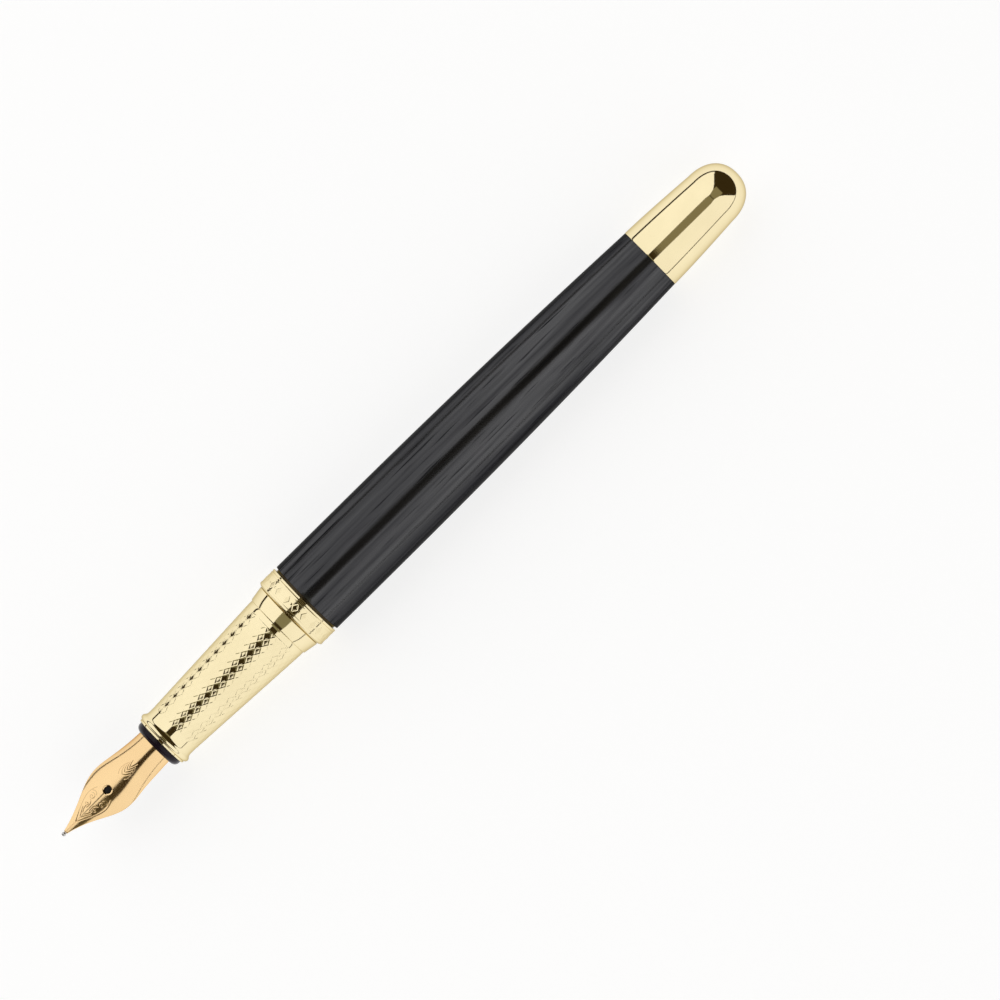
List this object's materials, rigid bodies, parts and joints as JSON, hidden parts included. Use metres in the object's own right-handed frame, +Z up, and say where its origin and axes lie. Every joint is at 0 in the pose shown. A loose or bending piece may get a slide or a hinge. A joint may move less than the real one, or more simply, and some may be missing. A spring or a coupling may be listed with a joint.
{
  "type": "fountain pen",
  "caption": "Uncapped fountain pen: knurled gold grip, engraved open nib, black wood barrel, bullet end, and a screw-piston converter inside.",
  "frame": {"origin": "centre of the pen's outline in plan, on the surface it lies on: half way along its length, on its axis line, at the lowest point of the centre band", "axes": "+X along the pen from the nib to the end of the finial, +Z up out of the nib's face, +Y across"},
  "size_m": [0.126, 0.0116, 0.0116],
  "materials": {
    "nib_gold": "polished warm gold plate on steel",
    "tipping": "ground and polished hard alloy",
    "feed_plastic": "moulded matt black",
    "black_plastic": "moulded gloss black",
    "gold_plate": "polished pale gold plate, cut diamond knurl on the grip",
    "turned_brass": "turned brass",
    "rubber_seal": "moulded rubber",
    "dark_metal": "blackened metal",
    "black_wood": "satin black-stained fine-grained wood",
    "tube_brass": "drawn brass",
    "clear_plastic": "clear moulded plastic",
    "bright_metal": "bright nickel plate",
    "knob_plastic": "moulded black, fluted",
    "white_plastic": "moulded white"
  },
  "bodies": {
    "barrel": {"thread_bush": "dark_metal", "barrel_sleeve": "black_wood", "barrel_tube": "tube_brass", "end_plug": "turned_brass", "finial": "gold_plate"},
    "band": {"centre_band": "gold_plate"},
    "seal": {"tenon_seal": "rubber_seal"},
    "section": {"nib_housing": "black_plastic", "grip_shell": "gold_plate", "threaded_tenon": "turned_brass"},
    "nib_unit": {"nib": "nib_gold", "nib_tipping": "tipping", "feed": "feed_plastic"},
    "converter": {"converter_tube": "clear_plastic", "converter_ferrule": "bright_metal", "converter_guide": "black_plastic", "agitator_ball": "bright_metal"},
    "knob": {"converter_knob": "knob_plastic", "drive_nut": "white_plastic"},
    "piston": {"piston_rod": "black_plastic", "piston_seal": "rubber_seal"}
  },
  "joints": [
    {"name": "section_pull", "type": "slide", "parent": "barrel", "child": "band", "axis": [-1, 0, 0], "range_m": [0, 0.075]},
    {"name": "section_lead", "type": "slide", "parent": "band", "child": "seal", "axis": [-1, 0, 0], "range_m": [0, 0.0041]},
    {"name": "section_turn", "type": "hinge", "parent": "seal", "child": "section", "pos_m": [-0.019, 0, 0.0058], "axis": [-1, 0, 0], "range_deg": [0, 1800]},
    {"name": "nib_pull", "type": "slide", "parent": "section", "child": "nib_unit", "axis": [-1, 0, 0], "range_m": [0, 0.012]},
    {"name": "converter_pull", "type": "slide", "parent": "section", "child": "converter", "axis": [1, 0, 0], "range_m": [0, 0.006]},
    {"name": "knob_turn", "type": "hinge", "parent": "converter", "child": "knob", "pos_m": [0.025, 0, 0.0058], "axis": [1, 0, 0], "range_deg": [0, 1872]},
    {"name": "piston_travel", "type": "slide", "parent": "converter", "child": "piston", "axis": [-1, 0, 0], "range_m": [0, 0.0235]}
  ],
  "couplings": [
    {"joint": "section_lead", "follows": "section_turn", "m_per_rad": 0.00012732},
    {"joint": "piston_travel", "follows": "knob_turn", "m_per_rad": 0.0007162}
  ]
}
